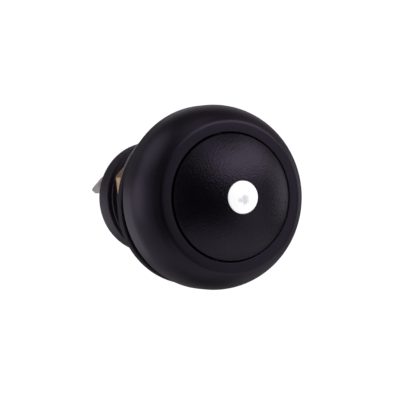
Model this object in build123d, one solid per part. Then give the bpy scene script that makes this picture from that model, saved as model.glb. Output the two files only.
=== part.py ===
from build123d import *
import os
from math import cos, pi, radians, sin, sqrt

# Illuminated industrial push button for a 12 mm panel hole, millimetres.
# Row frame: +Y runs along the shank towards the terminals, the cap faces -Y, +Z is up.
# The origin is on the shank axis at the rear face of the panel gasket, where the panel lies.
# Each piece is drawn about +Z with the cap on top (z = 0 at the panel) and laid over by in_row_frame().

# ---- Driving dimensions -------------------------------------------------------------------
# Shank and thread
THREAD_DIAMETER = 12.0
THREAD_PITCH = 1.25
THREAD_LENGTH = 11.1         # from the bezel's rim to the plain band
THREAD_WALL = 1.4            # thread crest to chamber
BAND_STEP = 0.2              # thread crest down to the band
BAND_TAPER = 0.08            # radial, over the band's end
BAND_STRAIGHT = 1.6
BAND_LENGTH = 2.4
BAND_WALL = 0.9
SOCKET_DEPTH = 3.7

# Bezel and the flange inside it
BEZEL_DIAMETER = 18.0
BEZEL_SIDE = 2.2             # straight side before the dome starts
BEZEL_HEIGHT = 5.8
CREST_WIDTH = 1.1            # flat ring round the cap
CREST_DROP = 0.1
DOME_BULGE = 0.4             # how far the dome stands out from its chord
BEZEL_RIM_WALL = 1.25
BEZEL_BEVEL = 0.5            # bevel of the rear edge, along the axis
BEZEL_BEVEL_WIDTH = 0.6      # the same bevel, radial
FLANGE_THICKNESS = 1.2
FLANGE_RECESS = 0.3
WEB_THICKNESS = 2.4

# Gasket, washer and nut
GASKET_HOLE_GAP = 0.67       # thread crest to the gasket's hole, radial
GASKET_WALL = 1.33           # the hole to the gasket's edge, radial
GASKET_THICKNESS = 1.1
GASKET_ROUND = 0.2
GASKET_GAP = 2.25            # loose: not yet pulled up against the bezel
WASHER_REACH = 1.7           # thread crest to the washer's edge
WASHER_THICKNESS = 0.4
WASHER_TOOTH_ROOT = 0.75     # thread crest to the bottom of the gaps between teeth
WASHER_TEETH = 10
NUT_WALL = 0.5               # thread crest to a flat
NUT_THICKNESS = 2.4
NUT_CHAMFER = 0.15           # flat to the edge of the round face
NUT_ROLL = 44.2              # a corner lies 16 degrees above the left-hand side

# Cap, lens and stem
CAP_DIAMETER = 12.2
CAP_DOME_HEIGHT = 2.75
CAP_EDGE_ROUND = 0.16
CAP_WALL = 1.2
CAP_ROOF = 0.25              # recess above the level of the cap's edge
BOSS_INSET = 2.1             # cap's side to the boss
BOSS_LIFT = 0.6              # boss end above the skirt's end
LENS_DIAMETER = 3.2
LENS_HEAD = 1.6
LENS_CROWN = 0.28
LIGHT_PIPE_DIAMETER = 2.4
STEM_DIAMETER = 4.8
STEM_TAIL_DIAMETER = 4.1
STEM_REAR_SPACE = 3.28       # stem to the terminal base, cap not pressed
TRAVEL = 1.5

# Boot, clamp ring and springs
BOOT_BEAD = 0.6
BOOT_WALL = 0.35
BOOT_LIP_HEIGHT = 0.65
CLAMP_RING_WALL = 0.9
CLAMP_RING_HEIGHT = 0.6
RETURN_WIRE = 0.4
RETURN_TURNS = 3.5
CONTACT_WIRE = 0.25
CONTACT_COIL_DIAMETER = 4.9
CONTACT_TURNS = 4.5

# Clips and contacts
CLIP_THICKNESS = 0.4
CLIP_DIAMETER = 6.2
CLIP_GROOVE = 0.3
RETAINER_DIAMETER = 5.6
CLIP_OPENING = 70.0          # degrees
BRIDGE_THICKNESS = 0.4
BRIDGE_WIDTH = 5.7
TIP_DIAMETER = 1.1
TIP_HEIGHT = 0.3
TIP_INSET = 1.0              # chamber wall to the middle of a tip
CONTACT_GAP = 0.9
CONTACT_REST_GAP = 0.02      # left between the tips when the bridge is fully down

# Terminals and lamp
TERMINAL_ROLL = 48.8         # the lugs' width direction, degrees from +X towards +Z
LUG_WIDTH = 2.0
LUG_THICKNESS = 0.5
LUG_ROW_INSET = 0.9          # chamber wall to the middle of a lug's thickness
LUG_SIDE_OFFSET = 1.45
LUG_TAIL = 5.0
LUG_HOLE_DIAMETER = 1.1
LUG_CORNER = 0.3
LUG_NECK_INSET = 0.55        # narrower inside the chamber
FOOT_THICKNESS = 0.3
LED_LUG_RISE = 1.2
BASE_THICKNESS = 2.5
POTTING_RECESS = 0.3
LAMP_DIAMETER = 3.0
LAMP_LENGTH = 4.3
LAMP_GAP = 0.3               # lamp to light pipe with the cap fully down
HOLDER_FOOT_DIAMETER = 4.4
HOLDER_FOOT_HEIGHT = 0.5
LEAD_DIAMETER = 0.4
LEAD_OFFSET = 0.64

# Clearances
SLIDE_FIT = 0.04             # stem in its guide, radial
CAP_CLEARANCE = 0.1          # cap in the bezel, radial
LOOSE_FIT = 0.05             # radial, and face to face between moving pieces
SEAT_FIT = 0.01              # pieces pushed into a socket, radial
LAMP_CLEARANCE = 0.15
STOP_CLEARANCE = 0.1
REST_GAP = 0.02              # faces that lie against each other across a joint

# ---- Levels and radii worked out from them --------------------------------------------------
RIM = GASKET_THICKNESS + GASKET_GAP
FLANGE_REAR = RIM + FLANGE_RECESS
FLANGE_FRONT = FLANGE_REAR + FLANGE_THICKNESS
WEB_REAR = FLANGE_FRONT - WEB_THICKNESS
BEZEL_TOP = RIM + BEZEL_HEIGHT
THREAD_END = RIM - THREAD_LENGTH
REAR_END = THREAD_END - BAND_LENGTH
BASE_FRONT = REAR_END + SOCKET_DEPTH
BASE_REAR = BASE_FRONT - BASE_THICKNESS
POTTING_REAR = REAR_END + POTTING_RECESS
LUG_END = REAR_END - LUG_TAIL

THREAD_R = THREAD_DIAMETER / 2
CHAMBER_R = THREAD_R - THREAD_WALL
BAND_R = THREAD_R - BAND_STEP
SOCKET_R = BAND_R - BAND_WALL
BEZEL_R = BEZEL_DIAMETER / 2
GASKET_HOLE_R = THREAD_R + GASKET_HOLE_GAP
GASKET_R = GASKET_HOLE_R + GASKET_WALL
WASHER_R = THREAD_R + WASHER_REACH
NUT_FLAT_R = THREAD_R + NUT_WALL
CAP_R = CAP_DIAMETER / 2
BORE_R = CAP_R + CAP_CLEARANCE
CREST_R = BORE_R + CREST_WIDTH
FLANGE_R = BEZEL_R - BEZEL_RIM_WALL
STEM_R = STEM_DIAMETER / 2
TAIL_R = STEM_TAIL_DIAMETER / 2
LENS_R = LENS_DIAMETER / 2
PIPE_R = LIGHT_PIPE_DIAMETER / 2
LAMP_R = LAMP_DIAMETER / 2
BOSS_R = CAP_R - BOSS_INSET
TIP_OFFSET = CHAMBER_R - TIP_INSET
LUG_ROW_OFFSET = CHAMBER_R - LUG_ROW_INSET

BEAD_TOP = FLANGE_FRONT + BOOT_BEAD
CLAMP_TOP = BEAD_TOP + CLAMP_RING_HEIGHT
SKIRT_END = CLAMP_TOP + TRAVEL + STOP_CLEARANCE
BOSS_END = SKIRT_END + BOSS_LIFT
CAP_EDGE = BEZEL_TOP + REST_GAP
CAP_TOP = CAP_EDGE + CAP_DOME_HEIGHT
LENS_SEAT = CAP_TOP - LENS_HEAD

CLIP_FRONT = WEB_REAR - REST_GAP
CLIP_REAR = CLIP_FRONT - CLIP_THICKNESS
TAIL_END = BASE_FRONT + STEM_REAR_SPACE
RETAINER_FRONT = TAIL_END + CLIP_GROOVE + CLIP_THICKNESS
BRIDGE_REAR = RETAINER_FRONT + REST_GAP
BRIDGE_FRONT = BRIDGE_REAR + BRIDGE_THICKNESS
MOVING_TIP_END = BRIDGE_REAR - TIP_HEIGHT
FIXED_TIP_FRONT = MOVING_TIP_END - CONTACT_GAP - CONTACT_REST_GAP
FOOT_FRONT = FIXED_TIP_FRONT - TIP_HEIGHT
PIPE_END = WEB_REAR + WEB_THICKNESS / 2
LAMP_TOP = PIPE_END - TRAVEL - LAMP_GAP
LAMP_END = LAMP_TOP - LAMP_LENGTH
LEAD_LEVEL = BASE_FRONT + HOLDER_FOOT_HEIGHT + LEAD_DIAMETER


# ---- Helpers ----------------------------------------------------------------------------------
def rod(radius, low, high):
    """A round bar on the axis between two levels."""
    return Pos(0, 0, low) * Cylinder(radius, high - low, align=(Align.CENTER, Align.CENTER, Align.MIN))


def ring(outer, inner, low, high):
    """A plain ring on the axis between two levels."""
    return rod(outer, low, high) - rod(inner, low - 1, high + 1)


def block(x0, x1, y0, y1, z0, z1):
    """A box between two corners."""
    return Pos(x0, y0, z0) * Box(x1 - x0, y1 - y0, z1 - z0, align=(Align.MIN, Align.MIN, Align.MIN))


def turned(outline, rounded=None, round_radius=0):
    """The solid that a closed (radius, level) outline sweeps round the axis, one corner rounded or none."""
    face = make_face(outline)
    if rounded:
        face = fillet(face.vertices().sort_by_distance((*rounded, 0))[0], round_radius)
    return revolve(Plane.XZ * face, Axis.Z, 360)


def c_clip(outer, inner, low, high):
    """A snap ring with an opening on one side."""
    reach = outer * 2
    half = radians(CLIP_OPENING / 2)
    corner = (reach * cos(half), reach * sin(half))
    gap = Polyline((0, 0), corner, (corner[0], -corner[1]), (0, 0))
    return ring(outer, inner, low, high) - Pos(0, 0, low - 1) * extrude(make_face(gap), high - low + 2)


def coil(coil_diameter, wire, turns, low, high):
    """A compression spring whose end turns touch both levels."""
    height = high - low - wire
    path = Helix(height / turns, height, coil_diameter / 2, center=(0, 0, low + wire / 2))
    section = Plane(origin=path @ 0, z_dir=path % 0) * Circle(wire / 2)
    return sweep(section, path=path, is_frenet=True)


# ---- Housing ------------------------------------------------------------------------------------
def make_bezel():
    """The domed ring in front of the panel, with a socket for the flange behind."""
    crest = RIM + BEZEL_HEIGHT - CREST_DROP
    low, high = RIM + BEZEL_SIDE, crest
    run, rise = CREST_R - BEZEL_R, high - low
    chord = sqrt(run * run + rise * rise)
    middle = (
        (BEZEL_R + CREST_R) / 2 + DOME_BULGE * rise / chord,
        (low + high) / 2 - DOME_BULGE * run / chord,
    )
    outline = Polyline(
        (CREST_R, crest),
        (BORE_R, BEZEL_TOP),
        (BORE_R, FLANGE_FRONT),
        (FLANGE_R + SEAT_FIT, FLANGE_FRONT),
        (FLANGE_R + SEAT_FIT, RIM),
        (BEZEL_R - BEZEL_BEVEL_WIDTH, RIM),
        (BEZEL_R, RIM + BEZEL_BEVEL),
        (BEZEL_R, low),
    )
    return turned(outline + ThreePointArc((BEZEL_R, low), middle, (CREST_R, crest)))


def make_threaded_bushing():
    """Flange, threaded shank at its crest diameter, plain band and the bores inside."""
    relief = THREAD_PITCH / 2
    outside = Polyline(
        (0, FLANGE_FRONT),
        (FLANGE_R, FLANGE_FRONT),
        (FLANGE_R, FLANGE_REAR),
        (THREAD_R, FLANGE_REAR),
        (THREAD_R, THREAD_END + relief / 2),
        (BAND_R, THREAD_END),
        (BAND_R, THREAD_END - BAND_STRAIGHT),
        (BAND_R - BAND_TAPER, REAR_END),
        (0, REAR_END),
        (0, FLANGE_FRONT),
    )
    body = turned(outside)
    guide = rod(STEM_R + SLIDE_FIT, WEB_REAR - 1, FLANGE_FRONT + 1)
    chamber = rod(CHAMBER_R, BASE_FRONT - 1, WEB_REAR)
    socket = rod(SOCKET_R, REAR_END - 1, BASE_FRONT)
    return body - guide - chamber - socket


def make_panel_gasket():
    """The loose rubber ring, hanging on the top of the thread."""
    drop = GASKET_HOLE_GAP - REST_GAP
    plain = ring(GASKET_R, GASKET_HOLE_R, 0, GASKET_THICKNESS)
    rims = plain.edges().filter_by(GeomType.CIRCLE).sort_by(SortBy.RADIUS)[-2:]
    return Pos(0, -drop, 0) * fillet(rims, min(GASKET_ROUND, GASKET_THICKNESS / 3))


def make_boot_clamp_ring():
    """Holds the boot's bead down on the flange."""
    return ring(BORE_R - SEAT_FIT, BORE_R - CLAMP_RING_WALL, BEAD_TOP, CLAMP_TOP)


def make_sealing_boot():
    """Silicone boot from the bead under the clamp ring up to the lip round the cap's boss."""
    lip = BOSS_R + REST_GAP
    bead = lip + BOOT_WALL + REST_GAP
    half = (FLANGE_FRONT + BOSS_END) / 2
    outline = Polyline(
        (lip, BOSS_END + BOOT_LIP_HEIGHT),
        (lip, BOSS_END - REST_GAP),
        (lip + BOOT_WALL / 2, half),
        (bead, BEAD_TOP),
        (bead, FLANGE_FRONT),
        (BORE_R - LOOSE_FIT, FLANGE_FRONT),
        (BORE_R - LOOSE_FIT, BEAD_TOP),
        (bead + BOOT_WALL, BEAD_TOP),
        (lip + BOOT_WALL * 1.5, half),
        (lip + BOOT_WALL, BOSS_END - REST_GAP),
        (lip + BOOT_WALL, BOSS_END + BOOT_LIP_HEIGHT),
        (lip, BOSS_END + BOOT_LIP_HEIGHT),
    )
    return turned(outline)


def make_return_spring():
    """Pushes the cap's boss away from the web."""
    return coil(STEM_R + BOSS_R, RETURN_WIRE, RETURN_TURNS, FLANGE_FRONT + REST_GAP, BOSS_END - REST_GAP)


# ---- Plunger ------------------------------------------------------------------------------------
def make_button_cap():
    """Domed cap with its skirt in the bezel and a boss that takes the stem."""
    dome_r = (CAP_R**2 + CAP_DOME_HEIGHT**2) / (2 * CAP_DOME_HEIGHT)
    middle_r = CAP_R / 2
    middle_z = CAP_TOP - dome_r + sqrt(dome_r**2 - middle_r**2)
    outline = Polyline((0, CAP_TOP), (0, SKIRT_END), (CAP_R, SKIRT_END), (CAP_R, CAP_EDGE))
    dome = ThreePointArc((CAP_R, CAP_EDGE), (middle_r, middle_z), (0, CAP_TOP))
    cap = turned(outline + dome, (CAP_R, CAP_EDGE), CAP_EDGE_ROUND)
    hollow = ring(CAP_R - CAP_WALL, BOSS_R, SKIRT_END, CAP_EDGE + CAP_ROOF)
    below_boss = rod(BOSS_R, SKIRT_END, BOSS_END)
    stem_hole = rod(STEM_R + SEAT_FIT, BOSS_END - 1, LENS_SEAT)
    window = rod(LENS_R + SEAT_FIT, LENS_SEAT - 1, CAP_TOP + 1)
    return cap - hollow - below_boss - stem_hole - window


def make_lens():
    """White window in the cap's middle, one piece with the light pipe behind it."""
    flat = CAP_TOP - LENS_CROWN / 2
    crown_r = (LENS_R**2 + LENS_CROWN**2) / (2 * LENS_CROWN)
    middle_r = LENS_R / 2
    middle_z = flat + LENS_CROWN - crown_r + sqrt(crown_r**2 - middle_r**2)
    outline = Polyline(
        (0, flat + LENS_CROWN),
        (0, PIPE_END),
        (PIPE_R, PIPE_END),
        (PIPE_R, LENS_SEAT),
        (LENS_R, LENS_SEAT),
        (LENS_R, flat),
    )
    return turned(outline + ThreePointArc((LENS_R, flat), (middle_r, middle_z), (0, flat + LENS_CROWN)))


def make_plunger_stem():
    """Tube that slides in the web, with grooves for both clips."""
    stem = rod(STEM_R, CLIP_REAR, LENS_SEAT) + rod(TAIL_R, TAIL_END, CLIP_REAR)
    clip_groove = ring(STEM_R + 1, TAIL_R, CLIP_REAR, CLIP_FRONT)
    tail_groove = ring(TAIL_R + 1, TAIL_R - SLIDE_FIT, TAIL_END + CLIP_GROOVE, RETAINER_FRONT)
    pipe_hole = rod(PIPE_R + SEAT_FIT, PIPE_END - 1, LENS_SEAT + 1)
    lamp_hole = rod(LAMP_R + LAMP_CLEARANCE, TAIL_END - 1, PIPE_END)
    return stem - clip_groove - tail_groove - pipe_hole - lamp_hole


def make_stem_clip():
    """Stops the stem against the rear of the web."""
    return c_clip(CLIP_DIAMETER / 2, TAIL_R + SEAT_FIT, CLIP_REAR, CLIP_FRONT)


def make_bridge_retainer():
    """Carries the contact bridge at the end of the stem."""
    return c_clip(RETAINER_DIAMETER / 2, TAIL_R - SLIDE_FIT + SEAT_FIT, TAIL_END + CLIP_GROOVE, RETAINER_FRONT)


def make_contact_spring():
    """Presses the contact bridge towards its retainer."""
    return coil(
        CONTACT_COIL_DIAMETER, CONTACT_WIRE, CONTACT_TURNS, BRIDGE_FRONT + REST_GAP, CLIP_REAR - REST_GAP
    )


# ---- Contact bridge -------------------------------------------------------------------------------
def make_contact_bridge():
    """Plate round the stem that joins the two fixed contacts."""
    reach = CHAMBER_R - 5 * LOOSE_FIT
    disc = rod(reach, BRIDGE_REAR, BRIDGE_FRONT)
    slab = block(-BRIDGE_WIDTH / 2, BRIDGE_WIDTH / 2, -reach, reach, BRIDGE_REAR, BRIDGE_FRONT)
    plate = disc & slab
    return rolled(plate - rod(TAIL_R + LOOSE_FIT, BRIDGE_REAR - 1, BRIDGE_FRONT + 1))


def contact_tips(low, high):
    """A round tip on each side of the axis."""
    return [rolled(Pos(0, side * TIP_OFFSET, 0) * rod(TIP_DIAMETER / 2, low, high)) for side in (1, -1)]


def make_moving_contact_tips():
    return Compound(children=contact_tips(MOVING_TIP_END, BRIDGE_REAR))


def make_fixed_contact_tips():
    return Compound(children=contact_tips(FOOT_FRONT, FIXED_TIP_FRONT))


# ---- Terminals --------------------------------------------------------------------------------------
def rolled(shape):
    """Turns a terminal piece from its own axes to where it sits round the shank."""
    return Rot(0, 0, TERMINAL_ROLL) * shape


def lug_blade(row, side):
    """One lug's flat tail with its solder hole, up to the front of the terminal base."""
    y = row * LUG_ROW_OFFSET
    x = side * LUG_SIDE_OFFSET
    half = LUG_WIDTH / 2
    t = LUG_THICKNESS / 2
    blade = block(x - half, x + half, y - t, y + t, LUG_END, BASE_FRONT)
    corners = blade.edges().filter_by(Axis.Y).group_by(Axis.Z)[0]
    blade = chamfer(corners, min(LUG_CORNER, LUG_WIDTH / 5))
    hole = Cylinder(LUG_HOLE_DIAMETER / 2, LUG_THICKNESS * 4, rotation=(90, 0, 0))
    slot_step = LUG_HOLE_DIAMETER * 0.6
    first = LUG_END + LUG_HOLE_DIAMETER * 1.2
    slot = Pos(x, y, first) * hole + Pos(x, y, first + slot_step) * hole
    slot += block(
        x - LUG_HOLE_DIAMETER / 2,
        x + LUG_HOLE_DIAMETER / 2,
        y - 2 * t,
        y + 2 * t,
        first,
        first + slot_step,
    )
    return blade - slot


def lug_neck(row, side, top):
    """The narrower stretch of a lug inside the chamber."""
    y = row * LUG_ROW_OFFSET
    t = LUG_THICKNESS / 2
    outer = side * (LUG_SIDE_OFFSET + LUG_WIDTH / 2 - LUG_NECK_INSET)
    inner = side * (LUG_SIDE_OFFSET - LUG_WIDTH / 2)
    return block(min(outer, inner), max(outer, inner), y - t, y + t, BASE_FRONT, top)


def make_contact_lug(row, side):
    """Contact lug with a foot that carries its fixed tip."""
    foot_rear = FOOT_FRONT - FOOT_THICKNESS
    outer = side * (LUG_SIDE_OFFSET + LUG_WIDTH / 2 - LUG_NECK_INSET)
    far = -side * (TIP_DIAMETER / 2 + LOOSE_FIT)
    y_out = row * (LUG_ROW_OFFSET + LUG_THICKNESS / 2)
    y_in = row * (TIP_OFFSET - TIP_DIAMETER / 2 - LOOSE_FIT)
    foot = block(
        min(outer, far), max(outer, far), min(y_out, y_in), max(y_out, y_in), foot_rear, FOOT_FRONT
    )
    return rolled(lug_blade(row, side) + lug_neck(row, side, FOOT_FRONT) + foot)


def make_led_lug(row, side):
    """Lamp lug, which ends just inside the chamber."""
    return rolled(lug_blade(row, side) + lug_neck(row, side, BASE_FRONT + LED_LUG_RISE))


def lug_slots():
    """What the four lugs take out of the base and the potting."""
    y0, y1 = LUG_ROW_OFFSET - LUG_THICKNESS / 2, LUG_ROW_OFFSET + LUG_THICKNESS / 2
    slots = []
    for row in (1, -1):
        for side in (1, -1):
            x = side * LUG_SIDE_OFFSET
            slots.append(
                block(
                    x - LUG_WIDTH / 2,
                    x + LUG_WIDTH / 2,
                    min(row * y0, row * y1),
                    max(row * y0, row * y1),
                    REAR_END - 1,
                    BASE_FRONT + 1,
                )
            )
    return slots


def disc_round_lugs(low, high):
    """A disc in the rear socket with the lugs passing through."""
    disc = rod(SOCKET_R - SEAT_FIT, low, high)
    for slot in lug_slots():
        disc -= slot
    return rolled(disc)


def make_terminal_base():
    return disc_round_lugs(BASE_REAR, BASE_FRONT)


def make_potting_seal():
    return disc_round_lugs(POTTING_REAR, BASE_REAR)


# ---- Lamp ---------------------------------------------------------------------------------------------
def make_led_lamp():
    """Straight-sided lamp with a round top, inside the stem."""
    shoulder = LAMP_TOP - LAMP_R
    outline = Polyline((0, LAMP_TOP), (0, LAMP_END), (LAMP_R, LAMP_END), (LAMP_R, shoulder))
    middle = (LAMP_R * sin(pi / 4), shoulder + LAMP_R * cos(pi / 4))
    return turned(outline + ThreePointArc((LAMP_R, shoulder), middle, (0, LAMP_TOP)))


def lead_path(row):
    """Down from the lamp, then out to the lamp lug on that side."""
    start = (0, row * LEAD_OFFSET, LAMP_END)
    turn = (0, row * LEAD_OFFSET, LEAD_LEVEL)
    end = (row * LUG_SIDE_OFFSET, row * (LUG_ROW_OFFSET - LUG_THICKNESS / 2), LEAD_LEVEL)
    return start, turn, end


def lead(row, radius):
    """One lead as two straight runs and a ball at the bend."""
    start, turn, end = (Vector(*p) for p in lead_path(row))
    wire = Pos(*turn) * Sphere(radius)
    for run in (start - turn, end - turn):
        bar = Cylinder(radius, run.length, align=(Align.CENTER, Align.CENTER, Align.MIN))
        wire += Plane(origin=turn, z_dir=run) * bar
    return wire


def make_led_leads():
    """Both leads, ending flat against the lamp lugs."""
    limit = LUG_ROW_OFFSET - LUG_THICKNESS / 2
    keep = block(-CHAMBER_R, CHAMBER_R, -limit, limit, LEAD_LEVEL - 1, LAMP_END)
    return Compound(children=[rolled(lead(row, LEAD_DIAMETER / 2) & keep) for row in (1, -1)])


def make_led_holder():
    """Post on the terminal base that carries the lamp, with channels for the leads."""
    post = rod(LAMP_R, BASE_FRONT, LAMP_END)
    post += rod(HOLDER_FOOT_DIAMETER / 2, BASE_FRONT, BASE_FRONT + HOLDER_FOOT_HEIGHT)
    for row in (1, -1):
        post -= lead(row, LEAD_DIAMETER / 2 + LOOSE_FIT)
    return rolled(post)


# ---- Washer and nut -------------------------------------------------------------------------------------
def make_lock_washer():
    """Thin washer with teeth that reach in towards the thread."""
    front = -REST_GAP
    rear = front - WASHER_THICKNESS
    root = THREAD_R + WASHER_TOOTH_ROOT
    washer = ring(WASHER_R, root, rear, front)
    tooth_half = pi * root / WASHER_TEETH / 2
    tooth = block(THREAD_R + LOOSE_FIT * 2, root + LOOSE_FIT, -tooth_half, tooth_half, rear, front)
    tooth -= rod(THREAD_R + LOOSE_FIT * 2, rear - 1, front + 1)
    for i in range(WASHER_TEETH):
        washer += Rot(0, 0, i * 360 / WASHER_TEETH) * tooth
    return washer


def make_hex_nut():
    """Thin hexagon nut, corners chamfered on both sides, bored to clear the thread's crest."""
    front = -2 * REST_GAP - WASHER_THICKNESS
    rear = front - NUT_THICKNESS
    corner = NUT_FLAT_R / cos(pi / 6)
    face = NUT_FLAT_R - NUT_CHAMFER
    drop = (corner - face) * 0.577
    hexagon = Pos(0, 0, rear) * extrude(RegularPolygon(corner, 6), NUT_THICKNESS)
    blank = turned(
        Polyline(
            (0, rear),
            (face, rear),
            (corner, rear + drop),
            (corner, front - drop),
            (face, front),
            (0, front),
            (0, rear),
        )
    )
    bore = rod(THREAD_R + LOOSE_FIT, rear - 1, front + 1)
    return Rot(0, 0, NUT_ROLL) * ((hexagon & blank) - bore)


# ---- Writing the pieces -------------------------------------------------------------------------------
def in_row_frame(shape):
    """Lays a piece over: the cap's direction becomes -Y and the drawing's +Y becomes +Z."""
    return Rot(90, 0, 0) * shape


PIECES = {
    "bezel": make_bezel,
    "threaded_bushing": make_threaded_bushing,
    "panel_gasket": make_panel_gasket,
    "boot_clamp_ring": make_boot_clamp_ring,
    "sealing_boot": make_sealing_boot,
    "return_spring": make_return_spring,
    "button_cap": make_button_cap,
    "lens": make_lens,
    "plunger_stem": make_plunger_stem,
    "stem_clip": make_stem_clip,
    "bridge_retainer": make_bridge_retainer,
    "contact_spring": make_contact_spring,
    "contact_bridge": make_contact_bridge,
    "moving_contact_tips": make_moving_contact_tips,
    "fixed_contact_tips": make_fixed_contact_tips,
    "contact_lug_common": lambda: make_contact_lug(1, -1),
    "contact_lug_switched": lambda: make_contact_lug(-1, 1),
    "led_lug_anode": lambda: make_led_lug(1, 1),
    "led_lug_cathode": lambda: make_led_lug(-1, -1),
    "terminal_base": make_terminal_base,
    "potting_seal": make_potting_seal,
    "led_lamp": make_led_lamp,
    "led_holder": make_led_holder,
    "led_leads": make_led_leads,
    "lock_washer": make_lock_washer,
    "hex_nut": make_hex_nut,
}

os.makedirs("parts", exist_ok=True)
for name, make in PIECES.items():
    export_step(in_row_frame(make()), f"parts/{name}.step")
    print("wrote", name)
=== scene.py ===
import math

import bmesh
import bpy
from mathutils import Matrix, Vector


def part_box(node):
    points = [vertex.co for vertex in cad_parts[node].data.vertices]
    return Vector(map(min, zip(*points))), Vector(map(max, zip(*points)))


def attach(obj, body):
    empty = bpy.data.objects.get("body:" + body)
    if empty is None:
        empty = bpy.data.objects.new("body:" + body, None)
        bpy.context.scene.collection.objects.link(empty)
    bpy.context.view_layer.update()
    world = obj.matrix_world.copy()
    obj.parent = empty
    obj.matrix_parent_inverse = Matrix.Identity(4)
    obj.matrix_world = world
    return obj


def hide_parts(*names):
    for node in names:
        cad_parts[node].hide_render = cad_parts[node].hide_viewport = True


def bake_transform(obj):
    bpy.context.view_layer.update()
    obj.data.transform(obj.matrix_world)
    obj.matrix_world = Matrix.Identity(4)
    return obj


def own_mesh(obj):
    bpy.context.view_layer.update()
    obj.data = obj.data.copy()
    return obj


# Visual model of a sealed, illuminated push button for a 12 mm panel hole.
# Row frame in metres: the cap faces -Y, the shank runs along +Y, +Z is up.
# Turned pieces are drawn as outlines of (radius, depth along Y) in millimetres.

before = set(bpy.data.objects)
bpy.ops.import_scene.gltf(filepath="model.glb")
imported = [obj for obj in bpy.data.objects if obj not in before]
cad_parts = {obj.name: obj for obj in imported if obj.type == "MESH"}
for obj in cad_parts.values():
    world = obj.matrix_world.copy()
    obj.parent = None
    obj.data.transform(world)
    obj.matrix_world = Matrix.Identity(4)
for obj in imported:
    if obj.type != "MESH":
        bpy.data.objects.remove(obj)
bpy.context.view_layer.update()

MM = 0.001

# ---- Sizes that the design fixes, in millimetres ------------------------------------------------

THREAD_R = 6.0
THREAD_PITCH = 1.25
THREAD_DEPTH = 0.6134 * THREAD_PITCH
THREAD_LENGTH = 11.1  # from the bezel's rear face
THREAD_RELIEF = 0.55  # plain part between the bezel and the first turn
BAND_R = 5.8
BAND_TAIL_R = 5.72
BAND_STRAIGHT = 1.6
FLANGE_THICKNESS = 2.4
CHAMBER_R = 4.6
GUIDE_R = 2.44
SEAT_GAP = 0.01  # between pieces pressed or cast together
BEZEL_SIDE = 2.2
BEZEL_BEVEL = 0.5
BEZEL_BEVEL_WIDTH = 0.6
CREST_WIDTH = 1.1
CREST_DROP = 0.1
DOME_BULGE = 0.4
BORE_GAP = 0.1
CAP_DOME_HEIGHT = 2.6  # leaves the cap's edge a little proud of the crest
WINDOW_SAG = 0.14
ROOF_DEPTH = 1.6
BOSS_R = 4.0
BOSS_RECESS = 0.6
LENS_GAP = 0.05
LENS_CROWN = 0.34
PIPE_R = 1.2
GASKET_HOLE_R = 6.67
NUT_FLAT_R = 6.5
NUT_ROLL = math.radians(44.2)

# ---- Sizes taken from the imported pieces, in millimetres -----------------------------------------


def reach(node):
    """A node's outer radius, front and rear along Y, in millimetres."""
    low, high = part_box(node)
    return (high.x - low.x) / 2 / MM, low.y / MM, high.y / MM


BEZEL_R, BEZEL_FRONT, RIM = reach("bezel")
CAP_R, CAP_FRONT, SKIRT_REAR = reach("button_cap")
LENS_R, LENS_FRONT, PIPE_REAR = reach("lens")
LENS_R -= LENS_GAP
GASKET_R, GASKET_FRONT, GASKET_REAR = reach("panel_gasket")
FLANGE_R, FLANGE_FRONT, SHANK_REAR = reach("threaded_bushing")
WASHER_R, WASHER_FRONT, WASHER_REAR = reach("lock_washer")
NUT_FRONT, NUT_REAR = reach("hex_nut")[1:]
POTTING_R, POTTING_FRONT, POTTING_REAR = reach("potting_seal")
BASE_FRONT = reach("terminal_base")[1]
CAP_FRONT_FULL = CAP_FRONT - WINDOW_SAG  # where the dome would end without its window
BOSS_TOP = CAP_FRONT_FULL + ROOF_DEPTH
BOSS_END = SKIRT_REAR - BOSS_RECESS
GASKET_DROP = -(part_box("panel_gasket")[0].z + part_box("panel_gasket")[1].z) / 2 / MM
BORE_R = CAP_R + BORE_GAP
CREST_R = BORE_R + CREST_WIDTH
SOCKET_R = POTTING_R + SEAT_GAP
WEB_REAR = FLANGE_FRONT + FLANGE_THICKNESS
THREAD_START = RIM + THREAD_RELIEF
THREAD_END = RIM + THREAD_LENGTH

# ---- Outlines -----------------------------------------------------------------------------------


def arc_through(start, middle, end, steps):
    """Points on the arc through three (radius, depth) points, both ends included."""
    (ax, ay), (bx, by), (cx, cy) = start, middle, end
    d = 2 * (ax * (by - cy) + bx * (cy - ay) + cx * (ay - by))
    a2, b2, c2 = ax * ax + ay * ay, bx * bx + by * by, cx * cx + cy * cy
    ox = (a2 * (by - cy) + b2 * (cy - ay) + c2 * (ay - by)) / d
    oy = (a2 * (cx - bx) + b2 * (ax - cx) + c2 * (bx - ax)) / d
    radius = math.hypot(ax - ox, ay - oy)
    first = math.atan2(ay - oy, ax - ox)
    turn = math.remainder(math.atan2(cy - oy, cx - ox) - first, math.tau)
    return [
        (ox + radius * math.cos(angle), oy + radius * math.sin(angle))
        for angle in (first + turn * i / steps for i in range(steps + 1))
    ]


def rounded(corners, steps=5):
    """An outline with each (radius, depth, rounding) corner turned into a short arc."""
    points = []
    count = len(corners)
    for i, corner in enumerate(corners):
        here = Vector(corner[:2])
        size = corner[2] if len(corner) > 2 else 0
        if not size:
            points.append(tuple(here))
            continue
        before = Vector(corners[i - 1][:2]) - here
        after = Vector(corners[(i + 1) % count][:2]) - here
        half = before.angle(after) / 2
        cut = min(size / math.tan(half), before.length / 2, after.length / 2)
        centre = here + (before.normalized() + after.normalized()).normalized() * (cut / math.cos(half))
        start = here + before.normalized() * cut
        end = here + after.normalized() * cut
        nearest = centre + (here - centre).normalized() * (start - centre).length
        points += arc_through(tuple(start), tuple(nearest), tuple(end), steps)
    return points


# ---- Meshes ----------------------------------------------------------------------------------------


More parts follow.
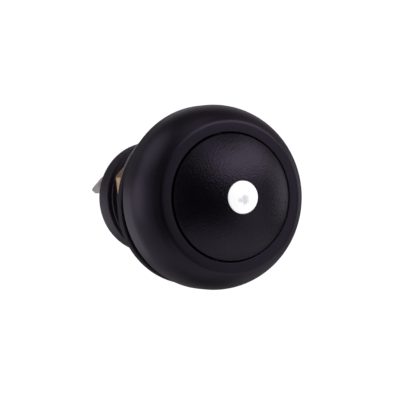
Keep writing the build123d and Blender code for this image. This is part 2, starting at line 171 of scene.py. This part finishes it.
def object_from(name, mesh_builder, sharp=math.radians(40)):
    """A smooth-shaded object from a bmesh, with its hard edges kept."""
    bmesh.ops.remove_doubles(mesh_builder, verts=mesh_builder.verts, dist=1e-7)
    bmesh.ops.recalc_face_normals(mesh_builder, faces=mesh_builder.faces)
    mesh = bpy.data.meshes.new(name)
    mesh_builder.to_mesh(mesh)
    mesh_builder.free()
    mesh.shade_smooth()
    mesh.set_sharp_from_angle(angle=sharp)
    piece = bpy.data.objects.new(name, mesh)
    bpy.context.scene.collection.objects.link(piece)
    return piece


def at(radius, depth, angle):
    """A point in metres from a radius, depth and angle round the shank."""
    return Vector((radius * math.cos(angle), depth, radius * math.sin(angle))) * MM


def skin(builder, rows, closed):
    """Joins rows of points into a skin that closes round the axis, and on itself if closed."""
    made = [[builder.verts.new(p) for p in row] for row in rows]
    pairs = list(zip(made, made[1:]))
    if closed:
        pairs.append((made[-1], made[0]))
    for lower, upper in pairs:
        for i in range(len(lower)):
            j = (i + 1) % len(lower)
            builder.faces.new((lower[i], lower[j], upper[j], upper[i]))
    return made


def turned(name, outline, segments=224, closed=True, sharp=math.radians(40)):
    """The solid that an outline sweeps round the shank's axis. A radius of 0 makes a pole."""
    builder = bmesh.new()
    rows = [[at(r, y, math.tau * i / segments) for i in range(segments)] for r, y in outline]
    skin(builder, rows, closed)
    bmesh.ops.remove_doubles(builder, verts=builder.verts, dist=1e-7)
    bmesh.ops.dissolve_degenerate(builder, edges=builder.edges, dist=1e-8)
    return object_from(name, builder, sharp)


def thread_height(depth, angle, start, end, runout=0.3):
    """How far the right-handed thread stands above its root, 0 to 1, at a depth and angle."""
    phase = ((depth - THREAD_START) / THREAD_PITCH + angle / math.tau) % 1.0
    from_crest = abs(phase - 0.5) * THREAD_PITCH
    flank = (from_crest - THREAD_PITCH / 16) * math.sqrt(3) / THREAD_DEPTH
    height = 1 - min(max(flank, 0), 1)
    edge = min((depth - start) / runout, (end - depth) / runout, 1)
    return height * max(edge, 0)


def make_bezel():
    """Domed ring with softened edges and the socket behind it."""
    crest = BEZEL_FRONT + CREST_DROP
    low, high = RIM - BEZEL_SIDE, crest
    run, rise = CREST_R - BEZEL_R, low - high
    chord = math.hypot(run, rise)
    middle = (
        (BEZEL_R + CREST_R) / 2 + DOME_BULGE * rise / chord,
        (low + high) / 2 + DOME_BULGE * run / chord,
    )
    dome = arc_through((BEZEL_R, low), middle, (CREST_R, high), 40)
    socket_r = FLANGE_R + SEAT_GAP
    inner = rounded(
        [
            (CREST_R, crest, 0.6),
            (BORE_R, BEZEL_FRONT, 0.15),
            (BORE_R, FLANGE_FRONT),
            (socket_r, FLANGE_FRONT),
            (socket_r, RIM, 0.1),
            (BEZEL_R - BEZEL_BEVEL_WIDTH, RIM, 0.1),
            (BEZEL_R, RIM - BEZEL_BEVEL, 0.1),
            (BEZEL_R, low),
            dome[12],
            dome[-8],
        ],
        6,
    )
    start = inner.index(min(inner, key=lambda p: math.dist(p, (BEZEL_R, low))))
    return turned("bezel_shell", inner[: start + 1] + dome[1:-8])


def make_cap():
    """Domed cap with a rounded edge, open round the lens."""
    edge = CAP_FRONT_FULL + CAP_DOME_HEIGHT
    dome_r = (CAP_R**2 + CAP_DOME_HEIGHT**2) / (2 * CAP_DOME_HEIGHT)

    def dome_depth(radius):
        return CAP_FRONT_FULL + dome_r - math.sqrt(dome_r**2 - radius**2)

    middle = CAP_R / 2
    dome = arc_through((CAP_R, edge), (middle, dome_depth(middle)), (0, CAP_FRONT_FULL), 96)
    window = LENS_R + 0.03
    surface = [p for p in dome if window + 0.15 < p[0] < CAP_R - 0.2]
    wall = 1.2
    inside_r = CAP_R - wall
    roof = edge - 0.25
    stem_bore = GUIDE_R - 0.03
    outline = rounded(
        [
            surface[-1],
            (window, dome_depth(window), 0.08),
            (window, BOSS_TOP),
            (stem_bore, BOSS_TOP),
            (stem_bore, BOSS_END, 0.06),
            (BOSS_R, BOSS_END, 0.15),
            (BOSS_R, roof),
            (inside_r, roof, 0.3),
            (inside_r, SKIRT_REAR, 0.1),
            (CAP_R, SKIRT_REAR, 0.15),
            (CAP_R, edge, 0.16),
            surface[0],
        ],
        6,
    )
    return turned("cap_shell", outline[1:-1] + surface, segments=288)


def make_lens():
    """Window with a low crown and the light pipe behind it."""
    edge = LENS_FRONT + LENS_CROWN
    crown_r = (LENS_R**2 + LENS_CROWN**2) / (2 * LENS_CROWN)
    middle = LENS_R / 2
    middle_depth = LENS_FRONT + crown_r - math.sqrt(crown_r**2 - middle**2)
    crest = arc_through((LENS_R, edge), (middle, middle_depth), (0, LENS_FRONT), 24)
    outline = rounded(
        [
            (0, PIPE_REAR),
            (PIPE_R, PIPE_REAR, 0.08),
            (PIPE_R, BOSS_TOP),
            (LENS_R, BOSS_TOP),
            (LENS_R, edge, 0.1),
            crest[3],
        ]
    )
    return turned("lens_window", outline[:-1] + crest[3:], segments=128, closed=False)


def make_gasket():
    """Loose rubber ring, round at both outer edges, hanging on the top of the thread."""
    outline = rounded(
        [
            (GASKET_HOLE_R, GASKET_FRONT, 0.12),
            (GASKET_R, GASKET_FRONT, 0.2),
            (GASKET_R, GASKET_REAR, 0.2),
            (GASKET_HOLE_R, GASKET_REAR, 0.12),
        ],
        8,
    )
    piece = turned("gasket_ring", outline)
    piece.data.transform(Matrix.Translation((0, 0, -GASKET_DROP * MM)))
    return piece


def make_shank():
    """Flange, helical thread, plain band and the hollow rear socket."""
    builder = bmesh.new()
    segments = 256
    steps_per_turn = 24
    start, end = THREAD_START, THREAD_END - 0.25
    steps = int((end - start) / THREAD_PITCH * steps_per_turn)
    root = THREAD_R - THREAD_DEPTH
    flange_rear = RIM - 0.3
    front = rounded(
        [
            (GUIDE_R, FLANGE_FRONT, 0.1),
            (FLANGE_R, FLANGE_FRONT, 0.1),
            (FLANGE_R, flange_rear, 0.1),
            (root, flange_rear, 0.1),
        ]
    )
    rows = [[at(r, y, math.tau * i / segments) for i in range(segments)] for r, y in front]
    for k in range(steps + 1):
        depth = start + (end - start) * k / steps
        row = []
        for i in range(segments):
            angle = math.tau * i / segments
            row.append(at(root + THREAD_DEPTH * thread_height(depth, angle, start, end), depth, angle))
        rows.append(row)
    rear = rounded(
        [
            (root, THREAD_END - 0.2),
            (BAND_R, THREAD_END - 0.02, 0.1),
            (BAND_R, THREAD_END + BAND_STRAIGHT),
            (BAND_TAIL_R, SHANK_REAR, 0.14),
            (SOCKET_R, SHANK_REAR, 0.08),
            (SOCKET_R, BASE_FRONT),
            (CHAMBER_R, BASE_FRONT),
            (CHAMBER_R, WEB_REAR),
            (GUIDE_R, WEB_REAR, 0.08),
        ]
    )
    rows += [[at(r, y, math.tau * i / segments) for i in range(segments)] for r, y in rear]
    skin(builder, rows, True)
    return object_from("threaded_shank", builder, math.radians(50))


def make_washer():
    """Thin stamped ring with teeth reaching in."""
    builder = bmesh.new()
    teeth, columns = 10, 240
    root_r, tip_r = THREAD_R + 0.75, THREAD_R + 0.12
    edge = 0.08

    def inner_radius(angle):
        share = (angle / math.tau * teeth + 0.5) % 1.0
        ramp = min(max((0.27 - abs(share - 0.5)) / 0.05, 0), 1)
        return root_r + (tip_r - root_r) * ramp

    rows = []
    for inner, inset, depth in (
        (True, edge, WASHER_FRONT),
        (False, edge, WASHER_FRONT),
        (False, 0, WASHER_FRONT + edge),
        (False, 0, WASHER_REAR - edge),
        (False, edge, WASHER_REAR),
        (True, edge, WASHER_REAR),
        (True, 0, WASHER_REAR - edge),
        (True, 0, WASHER_FRONT + edge),
    ):
        row = []
        for i in range(columns):
            angle = math.tau * i / columns
            radius = inner_radius(angle) + inset if inner else WASHER_R - inset
            row.append(at(radius, depth, angle))
        rows.append(row)
    skin(builder, rows, True)
    return object_from("toothed_washer", builder)


def make_nut():
    """Thin hexagon nut: flats, cone chamfers cut on both faces, and its own thread inside."""
    builder = bmesh.new()
    columns = 360
    corner_r = NUT_FLAT_R / math.cos(math.pi / 6)
    cone = math.tan(math.radians(30))
    bore_r = THREAD_R + 0.05
    root_r = THREAD_R - THREAD_DEPTH + 0.06

    def hexagon(angle):
        off = angle % (math.pi / 3) - math.pi / 6
        sharp = NUT_FLAT_R / math.cos(off)
        return min(sharp, corner_r - 0.06)

    def face_edge(radius, from_face):
        return min(radius, NUT_FLAT_R - 0.12 + from_face / cone)

    rows = []
    levels = [0, 0.03, 0.08, 0.16, 0.26, 0.36, 0.46, 0.56, 0.66]
    thickness = NUT_REAR - NUT_FRONT
    depths = [NUT_FRONT + d for d in levels] + [NUT_REAR - d for d in reversed(levels)]
    for depth in depths:
        from_face = min(depth - NUT_FRONT, NUT_REAR - depth)
        row = []
        for i in range(columns):
            angle = math.tau * i / columns
            radius = face_edge(hexagon(angle), from_face)
            row.append(at(radius, depth, angle + NUT_ROLL))
        rows.append(row)
    inner = 44
    countersink, opening = 0.3, 0.15
    beyond = 9  # the thread runs out of both faces
    for k in range(inner + 1):
        depth = NUT_REAR - thickness * k / inner
        from_face = min(depth - NUT_FRONT, NUT_REAR - depth)
        opened = bore_r + opening - from_face * (opening / countersink) if from_face < countersink else 0
        row = []
        for i in range(columns):
            angle = math.tau * i / columns + NUT_ROLL
            ridge = thread_height(depth, angle, NUT_FRONT - beyond, NUT_REAR + beyond)
            radius = root_r + (bore_r - root_r) * min(ridge * 1.12, 1)
            row.append(at(max(radius, opened), depth, angle))
        rows.append(row)
    skin(builder, rows, True)
    return object_from("brass_nut", builder, math.radians(24))


def make_potting():
    """Cast resin in the rear socket, drawn up a little at the wall."""
    builder = bmesh.new()
    rings, columns = 28, 160
    wall = SOCKET_R
    climb, fade = 0.16, 0.28  # how high the resin climbs the wall, and over what distance
    rows = []
    for k in range(rings):
        radius = wall * (k + 0.5) / rings if k < rings - 1 else wall
        rise = climb * math.exp(-(wall - radius) / fade)
        row = []
        for i in range(columns):
            angle = math.tau * i / columns
            swell = 0.02 * math.sin(3 * angle + radius) * math.sin(radius * 1.7)
            row.append(at(radius, POTTING_REAR - 0.05 + rise + swell * radius / wall, angle))
        rows.append(row)
    made = skin(builder, rows, False)
    builder.faces.new(made[0])
    back = [builder.verts.new(at(wall, POTTING_FRONT, math.tau * i / columns)) for i in range(columns)]
    for i in range(columns):
        j = (i + 1) % columns
        builder.faces.new((made[-1][i], made[-1][j], back[j], back[i]))
    builder.faces.new(list(reversed(back)))
    return object_from("potting_fill", builder, math.radians(60))


def make_coil(name, coil_r, wire_r, turns, front, rear):
    """Compression spring with closed, flattened end turns."""
    builder = bmesh.new()
    around, per_turn = 12, 48
    height = rear - front - 2 * wire_r
    closed_turns = 0.75
    count = int((turns + 2 * closed_turns) * per_turn)
    rows = []
    for k in range(count + 1):
        turn = k / per_turn
        rise = min(max((turn - closed_turns) / turns, 0), 1)
        depth = front + wire_r + height * rise
        angle = math.tau * turn
        row = []
        for i in range(around):
            a = math.tau * i / around
            row.append(at(coil_r + wire_r * math.cos(a), depth + wire_r * math.sin(a) * 0.98, angle))
        rows.append(row)
    made = skin(builder, rows, False)
    builder.faces.new(made[0])
    builder.faces.new(list(reversed(made[-1])))
    return object_from(name, builder)


def make_boot():
    """Soft boot from the bead under the clamp ring to the lip round the cap's boss."""
    bead_front = FLANGE_FRONT - 0.6
    bead_r = BORE_R - 0.05
    lip, wall = BOSS_R + 0.02, 0.35
    lip_front = BOSS_END - 0.65
    lip_rear = BOSS_END + 0.02
    foot = lip + wall + 0.02
    half = (FLANGE_FRONT + BOSS_END) / 2
    outline = rounded(
        [
            (lip, lip_front, 0.1),
            (lip, lip_rear, 0.2),
            (lip + wall / 2, half, 0.6),
            (foot, bead_front, 0.3),
            (foot, FLANGE_FRONT, 0.1),
            (bead_r, FLANGE_FRONT, 0.2),
            (bead_r, bead_front, 0.2),
            (foot + wall, bead_front, 0.2),
            (lip + wall * 1.5, half, 0.6),
            (lip + wall, lip_rear, 0.3),
            (lip + wall, lip_front, 0.1),
        ]
    )
    return turned("boot_skin", outline, segments=128)


# ---- Shader maths as Python expressions ---------------------------------------------------------


class Signal:
    """A shader socket that Python's operators work on, each adding its own node."""

    def __init__(self, finish, socket):
        self.finish = finish
        self.socket = socket

    def __add__(self, other):
        return self.finish.maths("ADD", self, other)

    def __radd__(self, other):
        return self.finish.maths("ADD", other, self)

    def __sub__(self, other):
        return self.finish.maths("SUBTRACT", self, other)

    def __rsub__(self, other):
        return self.finish.maths("SUBTRACT", other, self)

    def __mul__(self, other):
        return self.finish.maths("MULTIPLY", self, other)

    def __rmul__(self, other):
        return self.finish.maths("MULTIPLY", other, self)


class Finish:
    """One material, with its Principled shader and the nodes that feed it."""

    def __init__(self, name, **constants):
        self.material = bpy.data.materials.new(name)
        self.material.use_nodes = True
        self.tree = self.material.node_tree
        self.shader = self.tree.nodes["Principled BSDF"]
        self.place = Signal(self, self.tree.nodes.new("ShaderNodeTexCoord").outputs["Object"])
        for socket, value in constants.items():
            self.shader.inputs[socket.replace("_", " ")].default_value = value

    def node(self, kind, settings=None, inputs=None, output=0):
        """Any node, from its type, its settings and the values or links of its sockets."""
        made = self.tree.nodes.new("ShaderNode" + kind)
        for key, value in (settings or {}).items():
            setattr(made, key, value)
        for key, value in (inputs or {}).items():
            self.join(made.inputs[key], value)
        return Signal(self, made.outputs[output])

    def join(self, socket, value):
        """Links a signal to a socket, or sets a plain value on it."""
        if isinstance(value, Signal):
            self.tree.links.new(value.socket, socket)
        else:
            socket.default_value = value

    def maths(self, operation, first, second=0.0):
        """One step of arithmetic on signals or plain numbers."""
        return self.node("Math", {"operation": operation}, {0: first, 1: second})

    def noise(self, size, detail=2.0, roughness=0.5, vector=None):
        """Cloudy noise whose features are about that many millimetres across."""
        source = self.place if vector is None else vector
        return self.node(
            "TexNoise",
            {"noise_dimensions": "3D"},
            {"Vector": source, "Scale": 1 / (size * MM), "Detail": detail, "Roughness": roughness},
        )

    def stretched(self, x, y, z):
        """The position with each direction scaled, for streaks."""
        return self.node("VectorMath", {"operation": "MULTIPLY"}, {0: self.place, 1: (x, y, z)})

    def step(self, signal, low, high):
        """0 below low, 1 above high, smooth between."""
        span = {"Value": signal, "From Min": low, "From Max": high}
        return self.node("MapRange", {"interpolation_type": "SMOOTHSTEP"}, span)

    def blend(self, share, first, second):
        """A colour between two."""
        return self.node("Mix", {"data_type": "RGBA"}, {0: share, 6: first, 7: second}, output=2)

    def part(self, letter):
        """One coordinate of the position, in metres."""
        return self.node("SeparateXYZ", None, {"Vector": self.place}, output="XYZ".index(letter))

    def off_axis(self, height=0.0):
        """Distance from the shank's axis, or from a line that many millimetres above it, in millimetres."""
        x, z = self.part("X"), self.part("Z") - height * MM
        return self.maths("SQRT", x * x + z * z) * (1 / MM)

    def bump(self, height, depth, strength=1.0):
        """Relief of that many millimetres."""
        return self.node("Bump", None, {"Height": height, "Distance": depth * MM, "Strength": strength})

    def paint(self, **sockets):
        """Feeds the shader's sockets."""
        for socket, value in sockets.items():
            self.join(self.shader.inputs[socket.replace("_", " ")], value)
        return self.material


def rgb(r, g, b):
    return (r, g, b, 1)


VIOLET = rgb(0.84, 0.75, 1.0)  # the cast of the black plastics' sheen


# ---- Finishes ------------------------------------------------------------------------------------------


def satin_black_plastic():
    """Bezel: smooth moulded black, a trace of violet, faint handling marks."""
    f = Finish("bezel_satin_black", IOR=1.5, Specular_Tint=VIOLET)
    cloud = f.noise(3.0, 4.0)
    fine = f.noise(0.07, 2.0)
    marks = f.step(f.noise(0.9, 6.0, 0.7), 0.56, 0.74)
    colour = f.blend(cloud, rgb(0.0048, 0.0042, 0.0062), rgb(0.0072, 0.0062, 0.0092))
    relief = f.bump(fine, 0.006, 0.35)
    return f.paint(Base_Color=colour, Roughness=0.36 + cloud * 0.06 + marks * 0.05, Normal=relief)


def spark_textured_cap():
    """Cap: fine spark-eroded grain that glitters where the light catches it."""
    f = Finish("cap_spark_texture", IOR=1.5, Specular_Tint=VIOLET)
    grain = f.noise(0.17, 3.0, 0.6)
    fine = f.noise(0.06, 2.0, 0.55)
    cloud = f.noise(2.2, 3.0)
    pits = f.node("TexVoronoi", {"feature": "F1"}, {"Vector": f.place, "Scale": 1 / (0.2 * MM)})
    rough = 0.28 + cloud * 0.05 + fine * 0.06
    colour = f.blend(grain, rgb(0.0020, 0.0018, 0.0024), rgb(0.0050, 0.0046, 0.0060))
    relief = f.bump(grain + pits * 0.6 + fine * 0.4, 0.026, 1.0)
    return f.paint(Base_Color=colour, Roughness=rough, Normal=relief)


def housing_black():
    """Bushing: matte glass-filled nylon with soft moulding swirls."""
    f = Finish("housing_matte_black", IOR=1.5, Specular_Tint=VIOLET)
    grain = f.noise(0.12, 3.0, 0.6)
    swirl = f.noise(1.6, 4.0, 0.6, f.stretched(1, 0.4, 1))
    colour = f.blend(swirl, rgb(0.0065, 0.0055, 0.0070), rgb(0.012, 0.0105, 0.0125))
    return f.paint(Base_Color=colour, Roughness=0.42 + grain * 0.12, Normal=f.bump(grain, 0.012, 0.5))


def gasket_rubber():
    """Gasket: dull black rubber with dust in its skin."""
    f = Finish("gasket_black_rubber", IOR=1.48, Specular_Tint=VIOLET)
    grain = f.noise(0.1, 4.0, 0.65)
    dust = f.step(f.noise(0.35, 6.0, 0.75), 0.6, 0.78)
    colour = f.blend(dust * 0.35, rgb(0.0045, 0.004, 0.005), rgb(0.04, 0.037, 0.040))
    return f.paint(Base_Color=colour, Roughness=0.58 + grain * 0.15, Normal=f.bump(grain, 0.015, 0.6))


def white_lens():
    """Lens: milky moulded window, lifted to white by a painted glow; its colour and its glow are darker in a
    faint patch just below the middle.
    """
    # The emission is a painted glow: the window is not a lamp, and the glow only lifts it to white.
    f = Finish("lens_milky_white", IOR=1.49, Coat_Weight=0.3, Coat_Roughness=0.08, Emission_Strength=0.75)
    haze = f.noise(0.5, 4.0)
    away_from_middle = f.step(f.off_axis(-0.25) + haze * 1.1, 0.75, 1.25)
    colour = f.blend(away_from_middle, rgb(0.66, 0.68, 0.68), rgb(0.93, 0.93, 0.92))
    # Painted glow, dimmer in the same patch just below the middle.
    painted_glow = f.blend(away_from_middle, rgb(0.56, 0.60, 0.59), rgb(0.93, 0.95, 0.93))
    relief = f.bump(f.noise(0.3, 2.0), 0.004, 0.3)
    return f.paint(Base_Color=colour, Emission_Color=painted_glow, Roughness=0.16 + haze * 0.08, Normal=relief)


def nut_brass():
    """Nut: turned brass, dulled in patches, with lathe rings on its faces."""
    f = Finish("nut_tarnished_brass", Metallic=1.0)
    tarnish = f.step(f.noise(1.4, 5.0, 0.65), 0.38, 0.68)
    spots = f.step(f.noise(0.25, 4.0, 0.7), 0.62, 0.72)
    round_axis = f.node("CombineXYZ", None, {"X": f.off_axis() * MM, "Y": f.part("Y") * 0.6})
    rings = f.noise(0.06, 1.0, 0.5, round_axis)
    clean = f.blend(tarnish, rgb(0.68, 0.46, 0.23), rgb(0.36, 0.20, 0.085))
    colour = f.blend(spots * 0.6, clean, rgb(0.18, 0.105, 0.055))
    rough = 0.30 + tarnish * 0.16 + rings * 0.08
    return f.paint(Base_Color=colour, Roughness=rough, Normal=f.bump(rings, 0.010, 0.5))


def sheet_metal(name, bright, dull, size, streak, rough, metallic=1.0):
    """Stamped sheet: rolling streaks, dull patches and fine pitting."""
    f = Finish(name, Metallic=metallic)
    streaks = f.noise(size, 3.0, 0.6, f.stretched(1, streak, 1))
    patches = f.step(f.noise(0.9, 4.0, 0.6), 0.4, 0.7)
    pits = f.noise(0.05, 2.0)
    colour = f.blend(patches, rgb(*bright), rgb(*dull))
    roughness = rough + patches * 0.12 + streaks * 0.10
    return f.paint(Base_Color=colour, Roughness=roughness, Normal=f.bump(streaks + pits * 0.4, 0.006, 0.6))


def drawn_wire():
    """Springs: drawn steel with fine die lines."""
    f = Finish("spring_drawn_wire", Metallic=1.0)
    lines = f.noise(0.04, 2.0)
    film = f.noise(0.8, 3.0)
    colour = f.blend(film, rgb(0.50, 0.50, 0.52), rgb(0.62, 0.61, 0.60))
    return f.paint(Base_Color=colour, Roughness=0.26 + lines * 0.12, Normal=f.bump(lines, 0.004, 0.5))


def potting_resin():
    """Cast resin: glossy black with tiny bubbles."""
    f = Finish("potting_black_resin", IOR=1.54)
    bubbles = f.node("TexVoronoi", {"feature": "F1"}, {"Vector": f.place, "Scale": 1 / (0.9 * MM)})
    dimple = 1 - f.step(bubbles, 0.0, 0.16)
    flow = f.noise(1.5, 3.0)
    colour = f.blend(flow, rgb(0.012, 0.012, 0.013), rgb(0.022, 0.021, 0.021))
    relief = f.bump(flow - dimple * 0.6, 0.05, 0.5)
    return f.paint(Base_Color=colour, Roughness=0.18 + flow * 0.14, Normal=relief)


def soft_silicone():
    """Boot: translucent grey silicone with a dusty skin."""
    f = Finish("boot_grey_silicone", IOR=1.41, Subsurface_Weight=0.25, Subsurface_Radius=(0.001, 0.001, 0.001))
    grain = f.noise(0.2, 3.0)
    colour = f.blend(grain, rgb(0.30, 0.30, 0.31), rgb(0.40, 0.40, 0.41))
    return f.paint(Base_Color=colour, Roughness=0.42 + grain * 0.14, Normal=f.bump(grain, 0.01, 0.4))


def moulded(name, low, high, rough, ior=1.5):
    """Plain moulded plastic with flow clouds and a faint skin."""
    f = Finish(name, IOR=ior)
    flow = f.noise(1.8, 4.0, 0.6)
    skin_grain = f.noise(0.1, 2.0)
    return f.paint(
        Base_Color=f.blend(flow, rgb(*low), rgb(*high)),
        Roughness=rough + skin_grain * 0.1,
        Normal=f.bump(skin_grain, 0.006, 0.4),
    )


# ---- The object -----------------------------------------------------------------------------------


def shown(piece, body, slot, material, *nodes):
    """Puts a piece on its body in place of its CAD nodes, in that finish."""
    piece.data.materials.clear()
    piece.data.materials.append(material)
    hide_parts(*nodes)
    if body:
        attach(piece, body)
    return piece


stainless = sheet_metal(
    "stainless_sheet", (0.60, 0.59, 0.57), (0.48, 0.47, 0.45), size=0.12, streak=6, rough=0.26
)
tinned = sheet_metal(
    "tinned_brass_sheet",
    (0.95, 0.93, 0.88),
    (0.84, 0.81, 0.75),
    size=0.10,
    streak=0.2,
    rough=0.30,
    metallic=0.35,
)
contact_brass = sheet_metal(
    "contact_brass_sheet", (0.70, 0.54, 0.30), (0.56, 0.41, 0.22), size=0.10, streak=6, rough=0.24
)
silver = sheet_metal("contact_silver", (0.80, 0.79, 0.77), (0.66, 0.64, 0.60), size=0.15, streak=1, rough=0.30)
acetal = moulded("acetal_natural", (0.72, 0.71, 0.66), (0.80, 0.79, 0.75), 0.40)
base_resin = moulded("base_black_resin", (0.014, 0.014, 0.015), (0.024, 0.024, 0.026), 0.46)
lamp_epoxy = moulded("lamp_milky_epoxy", (0.78, 0.79, 0.78), (0.88, 0.89, 0.88), 0.12, 1.54)
wire = drawn_wire()

shown(make_bezel(), "housing", "black_bezel", satin_black_plastic(), "bezel")
shown(make_shank(), "housing", "black_housing", housing_black(), "threaded_bushing")
shown(make_gasket(), "housing", "black_rubber", gasket_rubber(), "panel_gasket")
shown(make_potting(), "housing", "epoxy", potting_resin(), "potting_seal")
shown(make_cap(), "plunger", "black_cap", spark_textured_cap(), "button_cap")
shown(make_lens(), "plunger", "white_lens", white_lens(), "lens")
shown(make_washer(), "washer", "stainless", stainless, "lock_washer")
shown(make_nut(), "nut", "nut_brass", nut_brass(), "hex_nut")

spring_front, spring_rear = reach("return_spring")[1:]
return_coil = make_coil(
    "return_coil", coil_r=3.2, wire_r=0.2, turns=2.9, front=spring_front, rear=spring_rear
)
shown(return_coil, "housing", "spring_steel", wire, "return_spring")
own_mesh(return_coil)

spring_front, spring_rear = reach("contact_spring")[1:]
contact_coil = make_coil(
    "contact_coil", coil_r=2.45, wire_r=0.125, turns=4.5, front=spring_front, rear=spring_rear
)
shown(contact_coil, "plunger", "spring_steel", wire, "contact_spring")
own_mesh(contact_coil)

boot = shown(make_boot(), None, "silicone", soft_silicone(), "sealing_boot")
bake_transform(boot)

for node, slot, material in (
    ("boot_clamp_ring", "stainless", stainless),
    ("plunger_stem", "acetal", acetal),
    ("stem_clip", "stainless", stainless),
    ("bridge_retainer", "stainless", stainless),
    ("contact_bridge", "contact_brass", contact_brass),
    ("moving_contact_tips", "contact_silver", silver),
    ("fixed_contact_tips", "contact_silver", silver),
    ("contact_lug_common", "tinned_brass", tinned),
    ("contact_lug_switched", "tinned_brass", tinned),
    ("led_lug_anode", "tinned_brass", tinned),
    ("led_lug_cathode", "tinned_brass", tinned),
    ("terminal_base", "base_resin", base_resin),
    ("led_lamp", "lamp_epoxy", lamp_epoxy),
    ("led_holder", "acetal", acetal),
    ("led_leads", "tinned_brass", tinned),
):
    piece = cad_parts[node]
    piece.data.materials.clear()
    piece.data.materials.append(material)
    softened = piece.modifiers.new("softened_edges", "BEVEL")
    softened.width = 0.04 * MM
    softened.segments = 3
    softened.limit_method = "ANGLE"
    softened.angle_limit = math.radians(40)
    softened.harden_normals = True

# ---- Camera ---------------------------------------------------------------------------------------------

turn = math.radians(25.2)  # the camera stands this far to the object's left
away = Vector((math.sin(turn), math.cos(turn), 0))
right = Vector((math.cos(turn), -math.sin(turn), 0))
up = Vector((0, 0, 1))

lens = bpy.data.cameras.new("main_camera")
lens.lens = 180
lens.sensor_width = 36
lens.clip_start = 0.01
camera = bpy.data.objects.new("main_camera", lens)
distance, aside, below = 196.08, 0.52, 0.265
camera.location = (Vector((0, RIM, 0)) - away * distance - right * aside - up * below) * MM
camera.rotation_euler = away.to_track_quat("-Z", "Y").to_euler()
bpy.context.scene.collection.objects.link(camera)
bpy.context.scene.camera = camera

# ---- Surroundings and light -----------------------------------------------------------------------------

STUDIO_TINT = (0.96, 0.88, 1.0)


def toward(azimuth, elevation):
    """Direction in the camera's own compass: azimuth 0 is the camera's side, 90 its right, 180 behind."""
    a, e = math.radians(azimuth), math.radians(elevation)
    return right * (math.sin(a) * math.cos(e)) - away * (math.cos(a) * math.cos(e)) + up * math.sin(e)


def surroundings():
    """Dark studio that turns pale only straight behind the object."""
    world = bpy.data.worlds.new("studio_surroundings")
    world.use_nodes = True
    tree = world.node_tree
    sky = tree.nodes["Background"]
    direction = tree.nodes.new("ShaderNodeTexCoord").outputs["Generated"]
    facing = tree.nodes.new("ShaderNodeVectorMath")
    facing.operation = "DOT_PRODUCT"
    facing.inputs[1].default_value = away
    tree.links.new(direction, facing.inputs[0])
    spread = tree.nodes.new("ShaderNodeMapRange")
    spread.interpolation_type = "SMOOTHSTEP"
    spread.inputs["From Min"].default_value = 0.3
    spread.inputs["From Max"].default_value = 1.0
    spread.inputs["To Min"].default_value = 0.01
    spread.inputs["To Max"].default_value = 0.22
    tree.links.new(facing.outputs["Value"], spread.inputs["Value"])
    tree.links.new(spread.outputs["Result"], sky.inputs["Strength"])
    sky.inputs["Color"].default_value = rgb(*STUDIO_TINT)
    bpy.context.scene.world = world


def soft_light(name, azimuth, elevation, watts, size, distance=0.4):
    """A round soft lamp aimed at the object."""
    lamp = bpy.data.lights.new(name, "AREA")
    lamp.shape = "DISK"
    lamp.size = size
    lamp.energy = watts
    lamp.color = STUDIO_TINT
    holder = bpy.data.objects.new(name, lamp)
    holder.location = toward(azimuth, elevation) * distance
    holder.rotation_euler = (-holder.location).to_track_quat("-Z", "Y").to_euler()
    bpy.context.scene.collection.objects.link(holder)


def white_sweep():
    """Pale floor under the object that rises into the backdrop all round, evenly white."""
    builder = bmesh.new()
    segments = 96
    floor, wall_r = -500, 1134
    bend = arc_through((700, floor), (1007, floor + 127), (wall_r, floor + 434), 16)
    profile = [(0.001, floor)] + bend + [(wall_r, 1400), (1, 1750)]
    rows = []
    for r, z in profile:
        angles = [math.tau * i / segments for i in range(segments)]
        rows.append([Vector((r * math.cos(a), r * math.sin(a), z)) * MM for a in angles])
    skin(builder, rows, False)
    sweep = object_from("white_sweep", builder, math.radians(60))
    material = bpy.data.materials.new("sweep_white")
    material.use_nodes = True
    shader = material.node_tree.nodes["Principled BSDF"]
    shader.inputs["Base Color"].default_value = rgb(0.9, 0.9, 0.9)
    shader.inputs["Emission Color"].default_value = rgb(1, 1, 1)
    shader.inputs["Emission Strength"].default_value = 1.0
    sweep.data.materials.append(material)
    for ray in ("diffuse", "glossy", "transmission", "volume_scatter", "shadow"):
        setattr(sweep, "visible_" + ray, False)


surroundings()

# Each lamp's azimuth and elevation in the camera's compass, its watts and its width in metres.
for name, azimuth, elevation, watts, size in (
    ("key_front_right", 45, 40, 0.36, 0.26),
    ("key_front", 12, 50, 0.09, 0.26),
    ("key_right", 90, 40, 0.28, 0.26),
    ("left_high", -90, 40, 0.22, 0.30),
    ("left", -92, 0, 0.22, 0.26),
    ("left_front", -62, 0, 0.05, 0.26),
    ("left_low", -85, -40, 0.17, 0.40),
    ("right_low", 80, -40, 0.22, 0.45),
    ("below", 10, -70, 0.30, 0.50),
    ("right_front", 60, 0, 0.14, 0.30),
    ("above", 0, 80, 0.08, 0.26),
    ("right_rear", 120, 5, 0.10, 0.26),
    ("rear_left", -133, -14, 0.10, 0.26),
    ("rear_left_low", -135, -50, 0.03, 0.26),
    ("rear_right_low", 135, -40, 0.04, 0.26),
    ("rear_high", 176, 30, 0.05, 0.26),
):
    soft_light(name, azimuth, elevation, watts, size)
white_sweep()

bpy.context.scene.view_settings.view_transform = "Standard"
